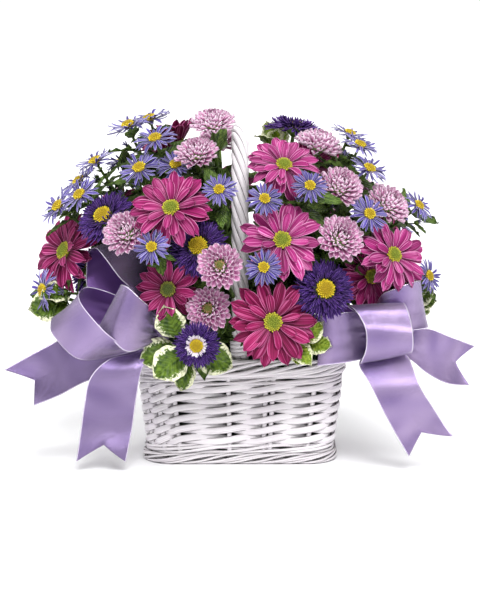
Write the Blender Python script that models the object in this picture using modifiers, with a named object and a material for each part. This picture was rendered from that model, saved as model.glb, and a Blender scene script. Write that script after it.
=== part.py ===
"""Flower basket arrangement: a white willow basket with a fixed hoop handle, a liner and floral
foam, mixed flower sprays pushed into the foam, and a wired satin bow at each front corner.

Metres, +Z up. The origin is the middle of the basket's underside, X runs along the basket's
length, and the front faces -Y. The lists below are in millimetres.
"""

import math

import bmesh
import bpy
from mathutils import Vector

MM = 0.001
GAP = 0.3

# Basket: half length and half depth at the foot and at the rim.
FOOT_HALF = (83.0, 58.0)
WALL_TOP_HALF = (92.0, 67.0)
CORNER = 24.0
WALL = 4.0
WALL_TOP = 80.0
BASE_THICK = 4.0
FOOT_HEIGHT = 10.0
FOOT_THICK = 4.5
RIM_TOP = 97.0
RIM_THICK = 8.0

# Handle hoop.
HANDLE_RADIUS = 6.5
HANDLE_FOOT = (50.0, 30.0)
HANDLE_RIM = (55.0, 97.0)
HANDLE_SPRING = 215.0
HANDLE_TOP = 302.0
HANDLE_SPAN = 62.0

# Liner cup and foam block.
LINER_FOOT_HALF = (72.0, 42.0)
LINER_TOP_HALF = (78.0, 46.0)
LINER_TOP = 84.0
LINER_WALL = 1.5
FOAM_HALF = (69.0, 38.0)
FOAM_TOP = 104.0
STEM_DEPTH = 20.0
ENTRY_SPACING = 11.0

# The rounded outline that the blooms stand on: half sizes, and the height of its middle.
DOME_HALF = (185.0, 122.0, 150.0)
DOME_MIDDLE = 158.0
LOOK_UP = 0.25

# Stems.
HIGH_BLOOM_PULL = 0.62
ENTRY_EDGE = 5.0
STEM = 1.8
BRANCH = 1.4
STEM_SIDES = 5
HOLE_RADIUS = 2.45
HOLE_SIDES = 6

# Ribbon.
RIBBON_THICK = 1.4

# Bloom outlines, each a half profile (radius, height) from the calyx up to the tip of the disc.
PROFILES = {
    "daisy": [(0, -9), (6, -5.5), (25, -1), (24, 1.5), (8, 4), (0, 8.5)],
    "half_open_daisy": [(0, -9), (6, -5.5), (16, 3), (14, 5), (7, 6), (0, 8.5)],
    "pompon": [(0, -9), (7, -6.5), (20, 0), (16, 8.5), (0, 14.5)],
    "aster": [(0, -8), (6, -5), (19, 0), (8, 6), (0, 9)],
    "blue_aster": [(0, -6), (4, -4), (12, 0), (4, 4), (0, 6)],
}
PROFILE_STEPS = {"daisy": 11, "half_open_daisy": 10, "pompon": 10, "aster": 10, "blue_aster": 7}
STEM_SEAT = {"daisy": 5.5, "half_open_daisy": 5.5, "pompon": 5.5, "aster": 4.5, "blue_aster": 3.6}

# The arrangement: spray name, kind of bloom, and the place (x, y, z) of each bloom on the spray.
SPRAYS = [
    ("daisy_left", "daisy", [(-59, -110, 237)]),
    ("daisy_top", "daisy", [(38, -88, 272)]),
    ("daisy_middle", "daisy", [(36, -116, 210)]),
    ("daisy_low", "daisy", [(28, -126, 141)]),
    ("daisy_right", "daisy", [(134, -84, 193)]),
    ("daisy_far_left", "daisy", [(-158, -22, 188)]),
    ("daisy_by_left_bow", "half_open_daisy", [(-62, -106, 166)]),
    ("daisy_top_left", "daisy", [(-58, 14, 284)]),
    ("pompon_top", "pompon", [(-24, -52, 305), (-38, -70, 280)]),
    ("pompon_left", "pompon", [(-98, -100, 214)]),
    ("pompon_middle", "pompon", [(-27, -117, 151), (-17, -136, 190)]),
    ("pompon_top_right", "pompon", [(87, -80, 252), (70, -28, 284)]),
    ("pompon_right", "pompon", [(86, -108, 210), (130, -60, 234)]),
    ("aster_left", "aster", [(-120, -72, 226)]),
    ("aster_middle", "aster", [(-36, -110, 204)]),
    ("aster_right", "aster", [(73, -118, 168)]),
    ("aster_low", "aster", [(-37, -136, 122)]),
    ("aster_top", "aster", [(50, 12, 298)]),
    ("blue_aster_top_left", "blue_aster", [(-100, -24, 302), (-81, -16, 307), (-75, -50, 292)]),
    ("blue_aster_upper_left", "blue_aster", [(-88, -72, 268), (-56, -62, 270)]),
    ("blue_aster_left", "blue_aster",
     [(-130, -20, 269), (-146, -8, 250), (-142, -50, 242), (-162, -40, 231), (-176, -44, 156)]),
    ("blue_aster_low_left", "blue_aster", [(-75, -129, 206)]),
    ("blue_aster_middle", "blue_aster", [(-18, -102, 252)]),
    ("blue_aster_front", "blue_aster", [(21, -120, 246), (60, -108, 256), (20, -139, 190)]),
    ("blue_aster_right", "blue_aster", [(99, -7, 293), (107, -34, 285), (114, -56, 266), (112, -94, 230)]),
    ("blue_aster_far_right", "blue_aster", [(168, -52, 170), (159, -44, 232)]),
    ("daisy_back_left", "daisy", [(-120, 72, 210), (-75, 60, 268)]),
    ("daisy_back_middle", "daisy", [(-15, 112, 228), (-30, 118, 150)]),
    ("daisy_back_right", "daisy", [(70, 80, 258), (125, 76, 168)]),
    ("pompon_back_left", "pompon", [(-85, 108, 185), (-20, 78, 278)]),
    ("pompon_back_right", "pompon", [(76, 106, 208), (112, 66, 230)]),
    ("aster_back_left", "aster", [(-140, 58, 160), (-66, 104, 227)]),
    ("aster_back_right", "aster", [(40, 112, 200), (28, 124, 155)]),
    ("blue_aster_back_left", "blue_aster", [(-100, 98, 150), (-110, 40, 264), (-52, 126, 176)]),
    ("blue_aster_back_right", "blue_aster", [(80, 114, 160), (150, 50, 205), (30, 94, 252)]),
]

# Green sprays: name and, for each leaf, its base (x, y, z) and its tip (x, y, z).
GREENS = [
    ("leaves_front_left", [((-56, -104, 124), (-74, -118, 104)), ((-57, -101, 120), (-59, -118, 98)),
                           ((-56, -106, 134), (-70, -125, 136)), ((-50, -104, 108), (-30, -116, 96)),
                           ((-54, -107, 114), (-45, -130, 101))]),
    ("leaves_front_right", [((60, -96, 122), (74, -112, 112)), ((58, -98, 118), (60, -118, 106)),
                            ((52, -104, 124), (64, -122, 130))]),
    ("leaves_left", [((-158, -14, 150), (-182, -12, 158)), ((-160, -32, 148), (-182, -46, 140)),
                     ((-158, -28, 146), (-178, -24, 136))]),
    ("leaves_right", [((152, -30, 148), (174, -40, 158)), ((152, -28, 144), (178, -32, 144)),
                      ((150, -24, 142), (172, -18, 134))]),
    ("leaves_back", [((22, 92, 118), (10, 118, 110)), ((26, 92, 116), (34, 120, 106)),
                     ((24, 90, 122), (24, 118, 124))]),
    ("leaves_top", [((30, 20, 276), (26, 16, 296)), ((30, 24, 268), (26, 42, 284))]),
]
LEAF_WIDTH = 14.0
LEAF_THICK = 1.2

# Bows: for each strip the stations of its two edges, upper and lower, from the tie outwards.
BOWS = {"left_bow": {
    "loop_side": [
        ((-81, -86, 142), (-83, -84, 126)), ((-104, -88, 156), (-124, -70, 128)),
        ((-132, -93, 166), (-162, -72, 138)), ((-140, -106, 161), (-168, -82, 130)),
        ((-134, -117, 150), (-163, -92, 121)), ((-114, -126, 130), (-143, -102, 105)),
        ((-98, -116, 120), (-120, -92, 104)), ((-82, -96, 123), (-86, -88, 112))],
    "loop_top": [
        ((-76, -70, 144), (-80, -70, 126)), ((-90, -46, 178), (-106, -44, 142)),
        ((-114, -42, 195), (-129, -42, 158)), ((-132, -48, 197), (-148, -48, 160)),
        ((-131, -58, 196), (-146, -56, 158)), ((-114, -60, 188), (-128, -56, 151)),
        ((-95, -66, 166), (-102, -60, 136)), ((-80, -78, 144), (-81, -77, 130))],
    "loop_front": [
        ((-79, -97, 146), (-79, -97, 126)), ((-88, -111, 161), (-88, -112, 122)),
        ((-98, -119, 168), (-100, -121, 124)), ((-106, -112, 162), (-110, -118, 134)),
        ((-107, -101, 156), (-109, -106, 138))],
    "tail_side": [
        ((-80, -82, 118), (-78, -82, 108)), ((-104, -80, 124), (-100, -80, 92)),
        ((-133, -80, 124), (-118, -80, 84)), ((-156, -84, 119), (-136, -84, 80)),
        ((-180, -93, 108), (-158, -93, 70)), ((-207, -100, 94), (-181, -100, 62))],
    "tail_down": [
        ((-84, -96, 111), (-66, -96, 113)), ((-114, -104, 104), (-74, -104, 110)),
        ((-131, -104, 88), (-86, -104, 94)), ((-137, -97, 62), (-91, -97, 68)),
        ((-141, -93, 36), (-95, -93, 40)), ((-145, -92, 10), (-101, -92, 10))],
}, "right_bow": {
    "loop_left": [
        ((109, -71, 134), (109, -71, 114)), ((97, -76, 147), (99, -76, 107)),
        ((81, -78, 149), (80, -78, 106)), ((69, -86, 144), (71, -86, 103)),
        ((68, -96, 140), (73, -96, 99)), ((78, -101, 146), (82, -101, 102)),
        ((92, -96, 146), (96, -96, 105)), ((109, -79, 132), (109, -79, 112))],
    "loop_center": [
        ((113, -84, 128), (135, -84, 128)), ((107, -86, 142), (144, -86, 145)),
        ((101, -96, 151), (146, -96, 152)), ((103, -110, 144), (148, -110, 144)),
        ((107, -119, 127), (151, -119, 128)), ((109, -117, 108), (151, -116, 112)),
        ((111, -104, 98), (149, -103, 104)), ((114, -85, 106), (138, -84, 108))],
    "loop_right": [
        ((133, -79, 140), (137, -79, 121)), ((144, -84, 165), (150, -84, 123)),
        ((158, -78, 168), (165, -78, 126)), ((164, -67, 166), (171, -67, 126)),
        ((157, -58, 161), (162, -58, 123)), ((146, -60, 150), (148, -60, 120)),
        ((140, -68, 134), (141, -68, 118))],
    "tail_side": [
        ((140, -76, 114), (138, -76, 104)), ((153, -84, 119), (150, -84, 90)),
        ((167, -90, 122), (161, -90, 84)), ((185, -92, 120), (179, -92, 80)),
        ((206, -94, 114), (203, -94, 80))],
    "tail_down": [
        ((114, -82, 98), (134, -82, 102)), ((113, -96, 90), (147, -96, 98)),
        ((119, -105, 71), (158, -105, 82)), ((131, -102, 49), (169, -102, 61)),
        ((140, -98, 31), (180, -98, 46)), ((149, -96, 16), (187, -96, 35))],
}}
# Each tie: its middle, its half sizes, and where its pick enters the foam.
TIES = {
    "left_bow": ((-70, -85, 128), (8, 13, 16), (-50, -20)),
    "right_bow": ((124, -72, 121), (12, 10, 14), (56, -18)),
}
END_GAP = 0.5

# Colours (linear red, green, blue), roughness.
COLOURS = {
    "willow": ((0.84, 0.83, 0.82), 0.65),
    "liner": ((0.05, 0.07, 0.05), 0.4),
    "foam": ((0.04, 0.13, 0.06), 0.95),
    "ribbon": ((0.38, 0.27, 0.55), 0.35),
    "daisy": ((0.50, 0.04, 0.22), 0.6),
    "half_open_daisy": ((0.42, 0.03, 0.18), 0.6),
    "pompon": ((0.72, 0.42, 0.66), 0.6),
    "aster": ((0.09, 0.04, 0.28), 0.6),
    "blue_aster": ((0.22, 0.18, 0.52), 0.6),
    "leaf": ((0.14, 0.26, 0.05), 0.5),
}


def material(name):
    """The named plain finish, made once."""
    found = bpy.data.materials.get(name)
    if found:
        return found
    colour, roughness = COLOURS[name]
    made = bpy.data.materials.new(name)
    made.use_nodes = True
    shader = made.node_tree.nodes["Principled BSDF"]
    shader.inputs["Base Color"].default_value = (*colour, 1.0)
    shader.inputs["Roughness"].default_value = roughness
    made.diffuse_color = (*colour, 1.0)
    return made


def clear_scene():
    for obj in list(bpy.data.objects):
        bpy.data.objects.remove(obj)


def new_collection(name, hidden=False):
    made = bpy.data.collections.new(name)
    bpy.context.scene.collection.children.link(made)
    made.hide_render = hidden
    return made


def to_object(mesh_source, name, finish, collection):
    """A mesh or a bmesh as an object with its finish, in the collection."""
    mesh = mesh_source
    if isinstance(mesh_source, bmesh.types.BMesh):
        mesh = bpy.data.meshes.new(name)
        mesh_source.to_mesh(mesh)
        mesh_source.free()
    obj = bpy.data.objects.new(name, mesh)
    mesh.materials.clear()
    mesh.materials.append(material(finish))
    collection.objects.link(obj)
    return obj


def helper(obj):
    """Marks a cutter or a shape to be joined, which isn't a piece of its own."""
    obj.hide_render = True
    obj.display_type = "WIRE"
    return obj


def tapered_block(low, high, foot_half, top_half, corner):
    """A block between two heights, wider at the top, with rounded upright corners."""
    shape = bmesh.new()
    bmesh.ops.create_cube(shape, size=2.0)
    for vert in shape.verts:
        half = top_half if vert.co.z > 0 else foot_half
        height = high if vert.co.z > 0 else low
        vert.co = Vector((vert.co.x * half[0], vert.co.y * half[1], height)) * MM
    upright = [e for e in shape.edges if abs(e.verts[0].co.z - e.verts[1].co.z) > MM]
    bmesh.ops.bevel(shape, geom=upright, offset=corner * MM, segments=3, profile=0.5,
                    affect="EDGES", material=-1)
    return shape


def open_ends(shape, both=True):
    """Takes away the top face, and the bottom face too where both ends are open."""
    ends = [f for f in shape.faces if f.normal.z > 0.9 or (both and f.normal.z < -0.9)]
    bmesh.ops.delete(shape, geom=ends, context="FACES_ONLY")


def thicken(obj, thickness, offset=-1.0):
    solid = obj.modifiers.new("Wall", "SOLIDIFY")
    solid.thickness = thickness * MM
    solid.offset = offset
    solid.use_even_offset = True


def half_at(height):
    """Half length and half depth of the wall's outside at a height."""
    share = height / WALL_TOP
    return tuple(f + share * (t - f) for f, t in zip(FOOT_HALF, WALL_TOP_HALF))


def wall_band(name, low, high, stand_off, thickness, parts):
    """A band of basketwork between two heights, its outside stood off from the wall's."""
    foot, top = half_at(low), half_at(high)
    shape = tapered_block(low, high, [h + stand_off for h in foot], [h + stand_off for h in top],
                          CORNER + stand_off)
    open_ends(shape)
    band = to_object(shape, name, "willow", parts)
    thicken(band, thickness)
    return band


def basket(parts):
    wall_band("basket_wall", 0.0, WALL_TOP, 0.0, WALL, parts)
    wall_band("foot_border", 0.0, FOOT_HEIGHT, FOOT_THICK + GAP, FOOT_THICK, parts)
    wall_band("rim_border", WALL_TOP + GAP, RIM_TOP, 1.5, RIM_THICK, parts)
    inner = [h - WALL - 0.4 for h in FOOT_HALF]
    base = tapered_block(0.0, BASE_THICK, inner, inner, CORNER - WALL)
    to_object(base, "basket_base", "willow", parts)


def handle_points():
    """The hoop's middle line, from the front foot over the top to the back foot."""
    radius_z = HANDLE_TOP - HANDLE_RADIUS - HANDLE_SPRING
    front = [HANDLE_FOOT, HANDLE_RIM, (HANDLE_SPAN - 1.5, 160.0)]
    arch = [(HANDLE_SPAN * math.cos(a), HANDLE_SPRING + radius_z * math.sin(a))
            for a in (math.pi * i / 16 for i in range(17))]
    side = [(-y, z) for y, z in front] + [(-y, z) for y, z in arch]
    return [Vector((0, y, z)) for y, z in side] + [Vector((0, y, z)) for y, z in reversed(front)]


def handle(parts):
    curve = bpy.data.curves.new("handle_hoop", "CURVE")
    curve.dimensions = "3D"
    curve.bevel_depth = HANDLE_RADIUS * MM
    curve.bevel_resolution = 3
    curve.use_fill_caps = True
    points = handle_points()
    spline = curve.splines.new("POLY")
    spline.points.add(len(points) - 1)
    for knot, place in zip(spline.points, points):
        knot.co = (*(place * MM), 1.0)
    obj = bpy.data.objects.new("handle_hoop", curve)
    curve.materials.append(material("willow"))
    parts.objects.link(obj)


def liner(parts):
    floor = BASE_THICK + GAP
    shape = tapered_block(floor, LINER_TOP, LINER_FOOT_HALF, LINER_TOP_HALF, 10.0)
    open_ends(shape, both=False)
    cup = to_object(shape, "liner", "liner", parts)
    thicken(cup, LINER_WALL)


def foam(entries, parts, cutters):
    """The foam block, with a hole for each stem."""
    floor = BASE_THICK + GAP + LINER_WALL + GAP
    shape = tapered_block(floor, FOAM_TOP, FOAM_HALF, FOAM_HALF, 3.0)
    block = to_object(shape, "floral_foam", "foam", parts)
    holes = new_collection("stem_holes", hidden=True)
    cutters.children.link(holes)
    bpy.context.scene.collection.children.unlink(holes)
    for number, (x, y) in enumerate(entries):
        hole = bmesh.new()
        bmesh.ops.create_cone(hole, cap_ends=True, segments=HOLE_SIDES, radius1=HOLE_RADIUS * MM,
                              radius2=HOLE_RADIUS * MM, depth=2 * (STEM_DEPTH + GAP) * MM)
        bmesh.ops.translate(hole, verts=hole.verts, vec=Vector((x, y, FOAM_TOP)) * MM)
        helper(to_object(hole, f"stem_hole_{number}", "foam", holes))
    cut = block.modifiers.new("Stem holes", "BOOLEAN")
    cut.operation = "DIFFERENCE"
    cut.operand_type = "COLLECTION"
    cut.collection = holes
    cut.solver = "EXACT"


def entry_for(places):
    """Where a spray enters the foam: nearer the edge for low blooms, nearer the middle for high."""
    middle = sum((Vector(p) for p in places), Vector()) / len(places)
    flat = Vector((middle.x / DOME_HALF[0], middle.y / DOME_HALF[1]))
    rise = math.atan2(middle.z - FOAM_TOP, math.hypot(middle.x, middle.y))
    reach = 1.0 - HIGH_BLOOM_PULL * rise / (math.pi / 2)
    flat = flat.normalized() * reach
    return Vector((flat.x * (FOAM_HALF[0] - ENTRY_EDGE), flat.y * (FOAM_HALF[1] - ENTRY_EDGE)))


def spread(entries):
    """Moves the entries apart until the foam keeps a web between any two of them."""
    limit = Vector((FOAM_HALF[0] - ENTRY_EDGE, FOAM_HALF[1] - ENTRY_EDGE))
    for _ in range(200):
        for i, first in enumerate(entries):
            for second in entries[i + 1:]:
                apart = second - first
                if apart.length < ENTRY_SPACING:
                    push = apart.normalized() * (ENTRY_SPACING - apart.length) / 2
                    first -= push
                    second += push
        for entry in entries:
            entry.x = max(-limit.x, min(limit.x, entry.x))
            entry.y = max(-limit.y, min(limit.y, entry.y))
    return entries


def facing_of(place):
    """The way a bloom looks: out from the middle of the arrangement and a little up."""
    x, y, z = place
    half = DOME_HALF
    out = Vector((x / half[0] ** 2, y / half[1] ** 2, (z - DOME_MIDDLE) / half[2] ** 2))
    return (out.normalized() + Vector((0, 0, LOOK_UP))).normalized()


def bezier(start, start_pull, end_pull, end, steps):
    """Points along a smooth curve between two places, with the pull at each end."""
    points = []
    for i in range(steps + 1):
        t = i / steps
        s = 1 - t
        points.append(start * s ** 3 + start_pull * 3 * s * s * t
                      + end_pull * 3 * s * t * t + end * t ** 3)
    return points


def tube(name, points, radius, finish, collection):
    """A closed stem: a ring of sides at each point, bridged along the line."""
    shape = bmesh.new()
    rings = []
    for i, point in enumerate(points):
        ahead = points[min(i + 1, len(points) - 1)] - points[max(i - 1, 0)]
        turn = ahead.to_track_quat("Z", "Y")
        ring = bmesh.ops.create_circle(shape, cap_ends=False, segments=STEM_SIDES, radius=radius * MM)
        for vert in ring["verts"]:
            vert.co = turn @ vert.co + point * MM
        edges = {e for v in ring["verts"] for e in v.link_edges}
        rings.append(list(edges))
    for low, high in zip(rings, rings[1:]):
        bmesh.ops.bridge_loops(shape, edges=low + high)
    bmesh.ops.holes_fill(shape, edges=shape.edges, sides=STEM_SIDES)
    bmesh.ops.recalc_face_normals(shape, faces=shape.faces)
    return to_object(shape, name, finish, collection)


def bloom(name, kind, place, facing, collection):
    """A bloom's closed outline, its profile spun round the way it faces."""
    shape = bmesh.new()
    verts = [shape.verts.new((r * MM, 0, z * MM)) for r, z in PROFILES[kind]]
    for first, second in zip(verts, verts[1:]):
        shape.edges.new((first, second))
    bmesh.ops.spin(shape, geom=shape.verts[:] + shape.edges[:], cent=(0, 0, 0), axis=(0, 0, 1),
                   angle=2 * math.pi, steps=PROFILE_STEPS[kind], use_merge=True)
    bmesh.ops.remove_doubles(shape, verts=shape.verts, dist=0.00001)
    bmesh.ops.recalc_face_normals(shape, faces=shape.faces)
    turn = facing.to_track_quat("Z", "Y")
    for vert in shape.verts:
        vert.co = turn @ vert.co + Vector(place) * MM
    return to_object(shape, name, kind, collection)


def join_all(base, pieces):
    """Joins helper shapes into the base piece, one union each."""
    for piece in pieces:
        helper(piece)
        union = base.modifiers.new("Join", "BOOLEAN")
        union.operation = "UNION"
        union.object = piece
        union.solver = "EXACT"


def main_stem(name, entry, end, arrive, finish, parts):
    """A stem from the bottom of its hole, straight up out of the foam, then over to its end."""
    bottom = Vector((entry.x, entry.y, FOAM_TOP - STEM_DEPTH))
    leave = Vector((entry.x, entry.y, FOAM_TOP + 3))
    span = (end - leave).length
    curve = bezier(leave, leave + Vector((0, 0, 0.3 * span)), end - arrive * 0.3 * span, end, 6)
    return tube(name, [bottom] + curve, STEM, finish, parts), curve


def spray(name, kind, places, entry, parts, joins):
    """A spray: one stem to its first bloom, and a side branch for each other bloom."""
    facing = facing_of(places[0])
    end = Vector(places[0]) - facing * STEM_SEAT[kind]
    stem, line = main_stem(name, entry, end, facing, kind, parts)
    pieces = [bloom(name + "_bloom", kind, places[0], facing, joins)]
    for number, place in enumerate(places[1:]):
        look = facing_of(place)
        stop = Vector(place) - look * STEM_SEAT[kind]
        start = line[2]
        span = (stop - start).length
        along = (line[3] - line[2]).normalized()
        way = bezier(start, start + along * 0.25 * span, stop - look * 0.3 * span, stop, 5)
        label = f"{name}_{number}"
        pieces.append(tube(label + "_branch", way, BRANCH, kind, joins))
        pieces.append(bloom(label + "_bloom", kind, place, look, joins))
    join_all(stem, pieces)


def leaf(name, base, tip, collection):
    """A low leaf blank: a pointed oval, a little cupped, with its thickness."""
    shape = bmesh.new()
    bmesh.ops.create_grid(shape, x_segments=3, y_segments=2, size=0.5)
    run = Vector(tip) - Vector(base)
    length = run.length
    along = run.normalized()
    across = along.cross(Vector((0, -0.5, 0.85))).normalized()
    up = across.cross(along)
    for vert in shape.verts:
        share = vert.co.x + 0.5
        width = LEAF_WIDTH * (0.14 + 0.86 * math.sin(math.pi * min(1.0, share * 0.93)))
        place = Vector(base) + along * (share * length) + across * (vert.co.y * width)
        vert.co = (place + up * (abs(vert.co.y) * 3.0)) * MM
    obj = to_object(shape, name, "leaf", collection)
    thicken(obj, LEAF_THICK, offset=0.0)
    return obj


def green(name, leaves, entry, parts, joins):
    """A green spray: a stem and its leaves."""
    base = Vector(leaves[0][0])
    tip = Vector(leaves[0][1])
    end = base + (tip - base).normalized() * 5
    arrive = (tip - base).normalized()
    stem, line = main_stem(name, entry, end, arrive, "leaf", parts)
    pieces = []
    for number, (low, high) in enumerate(leaves):
        label = f"{name}_{number}"
        pieces.append(leaf(label + "_leaf", low, high, joins))
        if number:
            start = line[5]
            stop = Vector(low) + (Vector(high) - Vector(low)).normalized() * 5
            way = [start, start.lerp(stop, 0.5), stop]
            pieces.append(tube(label + "_stalk", way, BRANCH, "leaf", joins))
    join_all(stem, pieces)


def smooth(stations, share):
    """A place along a row of stations, on a smooth curve through them."""
    count = len(stations) - 1
    at = min(share * count, count - 1e-6)
    i = int(at)
    t = at - i
    before, start = stations[max(i - 1, 0)], stations[i]
    end, after = stations[i + 1], stations[min(i + 2, count)]
    return (start * 2 + (end - before) * t + (before * 2 - start * 5 + end * 4 - after) * t * t
            + (start * 3 - before - end * 3 + after) * t ** 3) / 2


def drawn_in(pair, middle, half):
    """A strip's end moved straight towards its tie until it all but touches the tie's surface."""
    def unit(place):
        return Vector(((place.x - middle.x) / half[0], (place.y - middle.y) / half[1],
                       (place.z - middle.z) / half[2]))
    upper, lower = unit(pair[0]), unit(pair[1])
    nearest = min((upper.lerp(lower, i / 20).length for i in range(21)))
    wanted = 1.0 + END_GAP / (sum(half) / 3)
    return [middle + (place - middle) * (wanted / nearest) for place in pair]


def ribbon(name, stations, bow, parts):
    """A strip of ribbon: a flat grid laid along the smooth curves of its two edges."""
    middle, half, _ = TIES[bow]
    pairs = [[Vector(place) for place in pair] for pair in stations]
    pairs[0] = drawn_in(pairs[0], Vector(middle), half)
    if "loop_front" not in name and "tail" not in name:
        pairs[-1] = drawn_in(pairs[-1], Vector(middle), half)
    upper = [pair[0] for pair in pairs]
    lower = [pair[1] for pair in pairs]
    shape = bmesh.new()
    rows = 2 * (len(stations) - 1)
    bmesh.ops.create_grid(shape, x_segments=rows, y_segments=1, size=0.5)
    for vert in shape.verts:
        share = vert.co.x + 0.5
        edge = upper if vert.co.y > 0 else lower
        vert.co = smooth(edge, share) * MM
    strip = to_object(shape, name, "ribbon", parts)
    thicken(strip, RIBBON_THICK, offset=0.0)
    return strip


def tie(bow, entry, parts, joins):
    """A bow's tie: the gathered middle, wired to a pick that goes into the foam."""
    place, half, _ = TIES[bow]
    knot = bmesh.new()
    bmesh.ops.create_uvsphere(knot, u_segments=12, v_segments=8, radius=1.0)
    for vert in knot.verts:
        vert.co = Vector((vert.co.x * half[0], vert.co.y * half[1], vert.co.z * half[2])) * MM
    bmesh.ops.translate(knot, verts=knot.verts, vec=Vector(place) * MM)
    middle = to_object(knot, bow + "_knot", "ribbon", joins)
    end = Vector(place)
    arrive = Vector((place[0], place[1], 0)).normalized()
    stem = main_stem(bow + "_tie", entry, end, arrive, "ribbon", parts)[0]
    join_all(stem, [middle])


def main():
    clear_scene()
    parts = new_collection("flower_basket_arrangement")
    cutters = new_collection("cutters_and_joined_shapes", hidden=True)
    basket(parts)
    handle(parts)
    liner(parts)
    starts = [entry_for(places) for _, _, places in SPRAYS]
    starts += [entry_for([base for base, _ in leaves]) for _, leaves in GREENS]
    starts += [Vector(start) for _, _, start in TIES.values()]
    entries = spread(starts)
    foam(entries, parts, cutters)
    waiting = iter(entries)
    for name, kind, places in SPRAYS:
        spray(name, kind, places, next(waiting), parts, cutters)
    for name, leaves in GREENS:
        green(name, leaves, next(waiting), parts, cutters)
    for bow in TIES:
        tie(bow, next(waiting), parts, cutters)
    for bow, strips in BOWS.items():
        for name, stations in strips.items():
            ribbon(f"{bow}_{name}", stations, bow, parts)


main()
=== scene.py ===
import bisect
import collections
import math
import random

import bmesh
import bpy
from mathutils import Matrix, Vector


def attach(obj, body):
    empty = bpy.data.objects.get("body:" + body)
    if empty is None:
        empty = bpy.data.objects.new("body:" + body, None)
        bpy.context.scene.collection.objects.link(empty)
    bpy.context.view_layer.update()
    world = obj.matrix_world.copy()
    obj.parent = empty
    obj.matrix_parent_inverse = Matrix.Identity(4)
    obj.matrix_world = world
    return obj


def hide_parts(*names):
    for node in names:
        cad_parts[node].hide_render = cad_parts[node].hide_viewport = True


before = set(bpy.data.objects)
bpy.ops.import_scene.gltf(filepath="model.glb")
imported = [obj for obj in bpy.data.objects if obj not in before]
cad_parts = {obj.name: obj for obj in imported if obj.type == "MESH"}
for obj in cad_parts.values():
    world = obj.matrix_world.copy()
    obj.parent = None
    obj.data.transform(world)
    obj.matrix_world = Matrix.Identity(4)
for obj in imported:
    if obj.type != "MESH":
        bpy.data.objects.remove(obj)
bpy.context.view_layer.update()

MM = 0.001
GOLDEN_TURN = math.radians(137.508)
DOME_MIDDLE = Vector((0, 0, 158)) * MM
FOAM_TOP = 107 * MM
STALK_SIDE = Vector((1, 0.2, 0.1))


# Shades and finishes

def shade(red, green, blue):
    """Linear colour of a dye or paint mixed as 0 to 255."""
    parts = (red / 255, green / 255, blue / 255)
    return tuple(
        p / 12.92 if p <= 0.04045 else ((p + 0.055) / 1.055) ** 2.4 for p in parts
    ) + (1.0,)


class Nodes:
    """The shader nodes of a material, or of the studio's air, and the ways they are joined here."""

    def __init__(self, tree):
        self.tree = tree

    def add(self, kind, inputs, **settings):
        node = self.tree.nodes.new("ShaderNode" + kind)
        for setting, value in settings.items():
            setattr(node, setting, value)
        for socket, value in inputs.items():
            if isinstance(value, bpy.types.NodeSocket):
                self.tree.links.new(value, node.inputs[socket])
            else:
                node.inputs[socket].default_value = value
        return node

    def sum(self, operation, first, second=0.0):
        return self.add("Math", {0: first, 1: second}, operation=operation).outputs[0]

    def times(self, first, second):
        return self.sum("MULTIPLY", first, second)

    def span(self, value, start, end, low=0.0, high=1.0):
        return self.add("MapRange", {0: value, 1: start, 2: end, 3: low, 4: high}).outputs[0]

    def grain(self, vector, scale, detail=3.0, rough=0.55):
        inputs = {"Vector": vector, "Scale": scale, "Detail": detail, "Roughness": rough}
        return self.add("TexNoise", inputs).outputs[0]

    def stretched(self, *parts):
        """A vector from pairs of a value and what it is multiplied by."""
        products = [self.times(*part) for part in parts]
        return self.add("CombineXYZ", dict(enumerate(products))).outputs[0]

    def ramp(self, value, stops):
        node = self.add("ValToRGB", {0: value})
        bar = node.color_ramp.elements
        bar[0].position, bar[0].color = stops[0]
        bar[1].position, bar[1].color = stops[-1]
        for position, colour in stops[1:-1]:
            bar.new(position).color = colour
        return node.outputs[0]

    def mix(self, share, first, second):
        return self.add("Mix", {0: share, 6: first, 7: second}, data_type="RGBA").outputs[2]


class Finish(Nodes):
    """A material and the nodes that give it its colour and relief."""

    def __init__(self, name, roughness, **sockets):
        self.material = bpy.data.materials.new(name)
        self.material.use_nodes = True
        super().__init__(self.material.node_tree)
        self.shader = self.tree.nodes["Principled BSDF"]
        self.shader.inputs["Roughness"].default_value = roughness
        for socket, value in sockets.items():
            self.shader.inputs[socket.replace("_", " ")].default_value = value

    def across_along(self):
        split = self.add("SeparateXYZ", {0: self.add("UVMap", {}).outputs[0]})
        return split.outputs[0], split.outputs[1]

    def from_middle(self, across):
        return self.sum("ABSOLUTE", self.sum("SUBTRACT", across, 0.5))

    def place(self):
        return self.add("TexCoord", {}).outputs["Object"]

    def tone(self):
        return self.add("Attribute", {}, attribute_name="tone").outputs["Fac"]

    def shifted(self, colour, value):
        return self.add("HueSaturation", {"Color": colour, "Value": value}).outputs[0]

    def colour(self, colour):
        self.tree.links.new(colour, self.shader.inputs["Base Color"])

    def toned(self, colour, tone, darkest, lightest):
        """Colours each petal, leaf or rod a little darker or lighter, by its own tone."""
        self.colour(self.shifted(colour, self.span(tone, -1.0, 1.0, darkest, lightest)))

    def relief(self, height, depth):
        bump = self.add("Bump", {"Height": height, "Distance": depth})
        self.tree.links.new(bump.outputs[0], self.shader.inputs["Normal"])


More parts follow.
